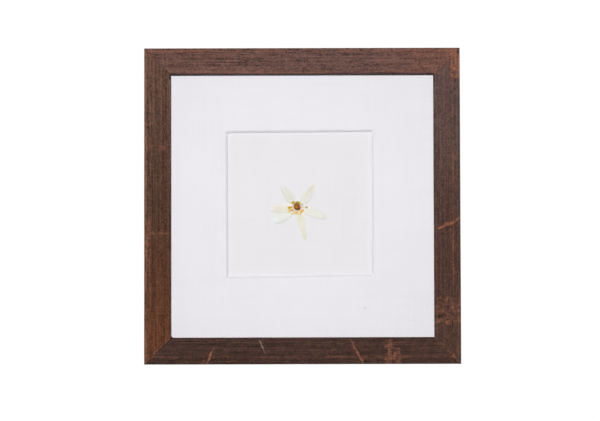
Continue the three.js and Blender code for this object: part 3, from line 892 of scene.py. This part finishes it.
def make_petal(spec, material):
    seed = PETALS.index(spec) * 3.1
    points, tones, places = [], [], []
    for layer in (1, -1):
        for t in np.linspace(0, 1, PETAL_ROWS):
            centre, direction = petal_frame(spec, t)
            half = petal_half_width(spec, t)
            for s in np.linspace(-1, 1, PETAL_COLUMNS):
                edge = noise.noise((t * 9, copysign(4, s), seed))
                aside = s * half * (1 + 0.05 * edge * abs(s))
                x = centre[0] - direction[1] * aside
                z = centre[1] + direction[0] * aside
                wave = PETAL_WAVE * noise.noise((x * 0.35, seed, z * 0.35))
                rib = PETAL_RIBS * cos(aside * 5.5)
                rib += PETAL_MIDRIB * exp(-((aside / 0.35) ** 2))
                thick = PETAL_THICK / 2 * sqrt(1 - 0.97 * abs(s) ** 3)
                height = petal_level(spec, t, s) + wave + layer * (thick + rib * (1 - abs(s)))
                points.append(on_mount(x, -height, z))
                tones.append(petal_tone(spec, t, s, half))
                places.append((t * spec["reach"], aside, 0))
    count = PETAL_ROWS * PETAL_COLUMNS
    faces = grid_faces(PETAL_ROWS, PETAL_COLUMNS)
    faces += [tuple(count + index for index in reversed(face)) for face in faces]
    border = list(range(PETAL_COLUMNS))
    border += [(i + 1) * PETAL_COLUMNS - 1 for i in range(1, PETAL_ROWS)]
    border += [count - 1 - j for j in range(1, PETAL_COLUMNS)]
    border += [i * PETAL_COLUMNS for i in range(PETAL_ROWS - 2, 0, -1)]
    for a, b in zip(border, border[1:] + border[:1]):
        faces.append((b, a, a + count, b + count))
    piece = new_piece("pressed_" + spec["name"], points, faces, material, [spec["name"]])
    paint(piece, "tint", tones)
    paint(piece, "lengthwise", places)


def petal_material():
    """Thin dried petal: fine veins along it, a papery mottle and a little light through it."""
    g = Graph("dried_petal")
    place = g.stored("lengthwise", "Vector")
    veins = g.stretched(place, (0.09, 2.4, 1), (0, 0, 0), 2)
    cells = g.stretched(place, (0.5, 1.1, 1), (7, 3, 0), 4, 0.6)
    level = g.total(1, g.around(veins, 0.12), g.around(cells, 0.1))
    tone = g.shade(g.stored("tint", "Color"), level)
    height = g.total(g.times(veins, 0.7), g.around(cells, 0.4))
    return g.surface(
        Base_Color=tone, Roughness=0.7, Specular_IOR_Level=0.25, Subsurface_Weight=0.35,
        Subsurface_Radius=(1, 1, 0.8), Subsurface_Scale=0.0008,
        Normal=g.bump(height, 0.05, 0.6),
    )


PISTIL_RADII = (3.45, 3.9)
PISTIL_TURN = -36
PISTIL_SEGMENTS = 96

# The pistil's profile: share of its radius, and y from the mount's face
PISTIL_PROFILE = [
    (0, -1.72), (0.14, -1.74), (0.28, -1.84), (0.42, -2.02), (0.55, -2.1),
    (0.68, -2), (0.8, -1.8), (0.9, -1.5), (0.97, -1.15), (1, -0.85),
    (0.98, -0.6), (0.9, -0.35), (0.6, -0.3), (0, -0.3),
]

# Darker and lighter places on the pistil: its place, radius, tone and strength
PISTIL_PLACES = [
    ((-0.7, 2.3), 1.5, (104, 72, 50), 0.75),
    ((1.6, -2.3), 1.9, (78, 56, 30), 0.9),
    ((-0.8, -0.3), 1.2, (226, 158, 66), 0.8),
    ((-2, 0.6), 0.9, (186, 124, 60), 0.6),
    ((2.5, 0.7), 1.2, (204, 146, 74), 0.7),
]


def make_pistil():
    """The dried middle: a lumpy, sunken cushion."""
    profile = []
    for (r0, y0), (r1, y1) in zip(PISTIL_PROFILE, PISTIL_PROFILE[1:]):
        profile += [(r0 + (r1 - r0) * k / 4, y0 + (y1 - y0) * k / 4) for k in range(4)]
    profile.append(PISTIL_PROFILE[-1])
    turned_points, faces = turned(profile, PISTIL_SEGMENTS)
    points, tints = [], []
    for x, y, z in turned_points:
        x, z = x * PISTIL_RADII[0], z * PISTIL_RADII[1]
        coarse = noise.noise((x * 0.6, y * 0.6, z * 0.6))
        fine = noise.noise((x * 1.9, y * 1.9, z * 1.9))
        sink = 0.3 * (coarse + 0.7) + 0.12 * (fine + 1)
        keep = 1 - 0.5 * sink / max(hypot(x, z), 1.5)
        if y < -0.5:
            y += sink
        x, z = turned_by(x * keep, z * keep, PISTIL_TURN)
        points.append(on_mount(x, y, z))
        tints.append(pistil_tint(x, z))
    piece = new_piece("dried_pistil", points, faces, pistil_material(), ["pistil"])
    paint(piece, "tint", tints)


def pistil_tint(x, z):
    """A tone, and how much it covers, as its last number."""
    tint, cover = (0, 0, 0), 0
    for (px, pz), radius, tone, strength in PISTIL_PLACES:
        share = strength * (1 - smoothstep(hypot(x - px, z - pz), 0.3 * radius, radius))
        if share > cover:
            tint, cover = srgb(*tone)[:3], share
    return (*tint, cover)


def pistil_material():
    """Brown and shrivelled, with golden specks. It is near black where its lumps sink and its bump
    is low: partly its own darker tone, partly painted shade in its folds.
    """
    g = Graph("dried_pistil")
    place = g.place()
    patches = g.noise(place, 0.42, 2)
    lumps = g.noise(place, 1.1, 3, 0.65)
    specks = g.stretched(place, (0.95, 0.95, 0.95), (4.75, 0, 8.55), 2)
    # Darker where the lumps sink, just as the bump does: partly the pistil's own tone, partly
    # painted shade in the folds.
    tone = g.total(0.5, g.around(patches, 1.3), g.around(lumps, 1.1))
    colour = g.ramp(tone, [(0.2, srgb(64, 44, 34)), (0.4, srgb(118, 66, 34)),
                           (0.56, srgb(164, 96, 44)), (0.75, srgb(204, 138, 74))])
    colour = g.mix(g.remap(specks, 0.56, 0.66, 0, 0.85), colour, srgb(214, 158, 44))
    cover = g.times(g.stored("tint", "Alpha"), g.remap(lumps, 0.3, 0.6, 0.7, 1))
    colour = g.mix(cover, colour, g.stored("tint", "Color"))
    return g.surface(
        Base_Color=colour, Roughness=0.6, Specular_IOR_Level=0.4,
        Normal=g.bump(g.total(lumps, g.times(specks, 0.5)), 0.3),
    )


# Each anther's place, length, width, turn and tone. The places are within 0.5 of the solids'.
ANTHERS = [
    ((-3.7, 4), 3.4, 2.4, 14, (196, 176, 10)),
    ((0.1, 4.3), 2, 1.3, 90, (150, 138, 20)),
    ((1.8, 3.8), 3.2, 1.9, -35, (192, 176, 16)),
    ((4.8, 2.1), 1.2, 1, 20, (160, 168, 158)),
    ((9, -0.6), 2.5, 2, 10, (190, 182, 100)),
    ((-7, -0.8), 4.2, 1.9, 8, (214, 166, 4)),
    ((-4.9, -3.1), 2.9, 1.9, -8, (242, 172, 44)),
    ((-7.8, -3.1), 2.6, 1.6, 6, (248, 212, 108)),
    ((-8, -4.9), 2.4, 1.2, -4, (250, 238, 140)),
    ((-4.4, -6.5), 3.6, 1.2, -6, (250, 222, 146)),
    ((-1.2, -5.9), 3.9, 1.8, -6, (248, 200, 100)),
    ((1.8, -7.5), 2.4, 1.3, -25, (250, 220, 140)),
    ((3.2, -6.2), 1.9, 1.4, 40, (248, 196, 92)),
    ((4.8, -4), 4.6, 1.9, 42, (244, 184, 44)),
]
ANTHER_THICK = 0.7
ANTHER_ROWS = 20
ANTHER_COLUMNS = 28
RING_RADII = (4.05, 4.8)
RING_LEVEL = 1.46
RING_THICK = 0.4
RING_SEGMENTS = 180
RING_SIDES = 12
RING_TONE = (232, 212, 196)
RING_SIDE_TONE = (226, 204, 140)
FILAMENT_TONE = (240, 222, 172)
FILAMENT_STEPS = 12
FILAMENT_SIDES = 8


def stamen_anther(at, length, width, turn, tone):
    """A grooved, shrivelled anther, as points in millimetres, faces and tones."""
    angles = [pi * i / ANTHER_ROWS for i in range(ANTHER_ROWS + 1)]
    ball, faces = turned([(sin(a), -cos(a)) for a in angles], ANTHER_COLUMNS)
    points = []
    for across, along, up in ball:
        groove = 0.22 * exp(-((across / 0.2) ** 2)) * max(up, 0)
        lump = 1 + 0.13 * noise.noise((along * 2.6 + at[0], across * 2, up * 2))
        x, z = turned_by(along * length / 2, across * width / 2 * lump, -turn)
        height = RING_LEVEL + ANTHER_THICK / 2 * (1 + (up - groove) * lump)
        points.append((x + at[0], -height, z + at[1]))
    return points, faces, [srgb(*tone)] * len(points)


def stamen_filament(at, turn):
    """A thin thread from the ring to its anther. An anther on the ring needs none."""
    to, far = np.array(at), hypot(*at)
    if far <= RING_RADII[1]:
        return [], [], []
    start, side = to / far * sum(RING_RADII) / 2, np.array([-to[1], to[0]]) / far
    points = []
    for i in range(FILAMENT_STEPS + 1):
        t = i / FILAMENT_STEPS
        bow = 0.25 * sin(pi * t) * (1 if turn > 0 else -1)
        centre = start + (to - start) * t + side * bow
        radius = 0.26 - 0.08 * t
        for angle in round_angles(FILAMENT_SIDES):
            place = centre + side * radius * cos(angle)
            level = RING_LEVEL + RING_THICK / 2 + 0.75 * radius * sin(angle)
            points.append((place[0], -level, place[1]))
    faces = grid_faces(FILAMENT_STEPS + 1, FILAMENT_SIDES, closed_columns=True)
    faces.append(tuple(reversed(range(FILAMENT_SIDES))))
    faces.append(tuple(FILAMENT_STEPS * FILAMENT_SIDES + k for k in range(FILAMENT_SIDES)))
    return points, faces, [srgb(*FILAMENT_TONE)] * len(points)


def stamen_ring():
    """The ring that the filaments grow from, thickened where each of them starts."""
    starts = [atan2(at[1], at[0]) for at, *_ in ANTHERS]
    points = []
    for angle in round_angles(RING_SEGMENTS):
        away = min(abs(remainder(angle - start, 2 * pi)) for start in starts)
        swell = exp(-((away / 0.12) ** 2))
        lump = 0.08 * noise.noise((cos(angle) * 6, sin(angle) * 6, 2))
        half_width = (RING_RADII[1] - RING_RADII[0]) / 2 * (0.82 + 0.3 * swell)
        half_height = RING_THICK / 2 * (0.85 + 0.25 * swell)
        for turn in round_angles(RING_SIDES):
            radius = sum(RING_RADII) / 2 + lump + half_width * cos(turn)
            level = RING_LEVEL + RING_THICK / 2 + half_height * sin(turn)
            points.append((radius * cos(angle), -level, radius * sin(angle)))
    faces = grid_faces(RING_SEGMENTS, RING_SIDES, closed_rows=True, closed_columns=True)
    low, high = np.array(srgb(*RING_TONE)), np.array(srgb(*RING_SIDE_TONE))
    shares = [smoothstep(z, -4.2, -2) for _, _, z in points]
    return points, faces, [tuple(low + (high - low) * share) for share in shares]


def make_stamens():
    points, faces, tones = [], [], []
    shapes = [stamen_ring()]
    for at, length, width, turn, tone in ANTHERS:
        shapes += [stamen_filament(at, turn), stamen_anther(at, length, width, turn, tone)]
    for shape_points, shape_faces, shape_tones in shapes:
        start = len(points)
        points += shape_points
        faces += [tuple(start + index for index in face) for face in shape_faces]
        tones += shape_tones
    placed = [on_mount(*point) for point in points]
    piece = new_piece("dried_stamens", placed, faces, stamen_material(), ["stamens"])
    shape = bmesh.new()
    shape.from_mesh(piece.data)
    bmesh.ops.recalc_face_normals(shape, faces=shape.faces)
    shape.to_mesh(piece.data)
    shape.free()
    paint(piece, "tint", tones)


def stamen_material():
    g = Graph("dried_stamens")
    place = g.place()
    grains = g.noise(place, 2.6, 3, 0.6)
    blotches = g.noise(place, 0.7, 2)
    level = g.total(0.96, g.around(grains, 0.7), g.around(blotches, 0.5))
    return g.surface(
        Base_Color=g.shade(g.stored("tint", "Color"), level), Roughness=0.65,
        Specular_IOR_Level=0.3, Subsurface_Weight=0.15, Subsurface_Scale=0.0004,
        Normal=g.bump(grains, 0.12),
    )


# The back
FITTING_SEGMENTS = 64


def hardboard():
    """Pressed brown fibres with darker and lighter flecks."""
    g = Graph("hardboard")
    place = g.place()
    flecks = g.stretched(place, (1.1, 1.1, 0.385), (0, 0, 0), 4, 0.7)
    fibres = g.stretched(place, (0.39, 1.3, 1.56), (11.7, 0, 0), 4, 0.7)
    cloud = g.noise(place, 0.012, 3)
    value = g.total(0.5, g.around(flecks, 0.8), g.around(fibres, 0.8), g.around(cloud, 0.5))
    colour = g.ramp(value, [(0.2, srgb(84, 56, 36)), (0.5, srgb(112, 77, 50)),
                            (0.82, srgb(142, 104, 72))])
    return g.surface(
        Base_Color=colour, Roughness=g.remap(value, 0.2, 0.8, 0.62, 0.8), Specular_IOR_Level=0.3,
        Normal=g.bump(value, 0.12, 0.6),
    )


def worked_metal(name, bright, dull, stretch, low, high):
    """Rolled sheet with fine lines, dulled in places."""
    g = Graph(name)
    place = g.place()
    lines = g.stretched(place, stretch, (0, 0, 0), 3, 0.6)
    tarnish = g.noise(place, 0.35, 4, 0.6)
    colour = g.mix(g.remap(tarnish, 0.42, 0.68, 0, 0.8), srgb(*bright), srgb(*dull))
    colour = g.shade(colour, g.remap(lines, 0.3, 0.7, 0.9, 1.08))
    return g.surface(
        Base_Color=colour, Metallic=0.7, Roughness=g.remap(tarnish, 0.35, 0.7, low, high),
        Normal=g.bump(lines, 0.02, 0.6),
    )


def rubber():
    g = Graph("bumper_rubber")
    grain = g.noise(g.place(), 1.8, 4, 0.7)
    dust = g.noise(g.place(), 0.5, 3)
    colour = g.mix(g.remap(dust, 0.5, 0.75, 0, 0.4), srgb(52, 49, 46), srgb(92, 87, 80))
    return g.surface(
        Base_Color=colour, Roughness=g.remap(grain, 0.3, 0.7, 0.7, 0.9), Specular_IOR_Level=0.35,
        Normal=g.bump(grain, 0.06),
    )


def make_pair(name, node, profile, aside, up, material):
    """Turns a profile into two pieces, left and right of the hanger's middle."""
    points, faces = turned(profile, FITTING_SEGMENTS)
    for way, side in ((-1, "left"), (1, "right")):
        placed = [Vector((x + way * aside, y, z + up)) * MM for x, y, z in points]
        new_piece(f"{name}_{side}", placed, faces, material, [f"{node}_{side}"])


def make_turned_fittings(brass, black):
    """The hanger's two nails and the bumpers, finely turned."""
    base = -HANGER_LIFT + GAP
    nail = [(0, RAIL_BACK - 8), (0.3, RAIL_BACK - 7.2), (0.65, RAIL_BACK - 6.5), (0.65, base),
            (1.75, base), (1.9, base + 0.12), (1.9, base + 0.4), (1.78, base + 0.6),
            (1.5, base + 0.74), (0.9, base + 0.8), (0.5, base + 0.78), (0, base + 0.77)]
    nail_x = (HANGER_WIDTH - HANGER_TAB) / 2
    make_pair("turned_brad", "hanger_brad", nail, nail_x, 0, brass)
    foot, wide = RAIL_BACK + GAP, BUMPER_RADIUS
    bumper = [(0, foot), (wide - 0.3, foot), (wide, foot + 0.25), (wide, foot + 0.7),
              (wide - 0.1, foot + 0.8), (wide - 0.1, foot + 0.95), (4.86, -1.1), (4.7, -0.6),
              (4.35, -0.25), (3.8, -0.06), (3, 0), (2.2, -0.02), (1.2, -0.05), (0, -0.05)]
    bumper_x = OUTER / 2 - BUMPER_INSET
    make_pair("moulded_bumper", "wall_bumper", bumper, bumper_x, MIDDLE_Z - bumper_x, black)


def dress_back():
    dress_node("backing_board", hardboard(), 0.3)
    steel = worked_metal("point_steel", (176, 178, 180), (128, 126, 122), (0.4, 5, 5), 0.28, 0.5)
    for k in range(1, 9):
        dress_node(f"framer_point_{k}", steel, 0.08)
    brass = worked_metal("hanger_brass", (196, 158, 92), (140, 108, 64), (0.3, 5, 5), 0.25, 0.5)
    dress_node("sawtooth_hanger", brass, 0.1)
    make_turned_fittings(brass, rubber())


bpy.context.scene.view_settings.view_transform = "Standard"
make_camera()
for lamp in LAMPS:
    make_lamp(*lamp)
make_world()
make_floor()
for side in SIDES:
    make_rail(side)
make_mat()
dress_node("linen_mount", linen("mount_linen", MOUNT_TONE, 31), 0.3)
dress_node("glass_pane", clear_glass(), 0)
dried_petal = petal_material()
for spec in PETALS:
    make_petal(spec, dried_petal)
make_pistil()
make_stamens()
dress_back()
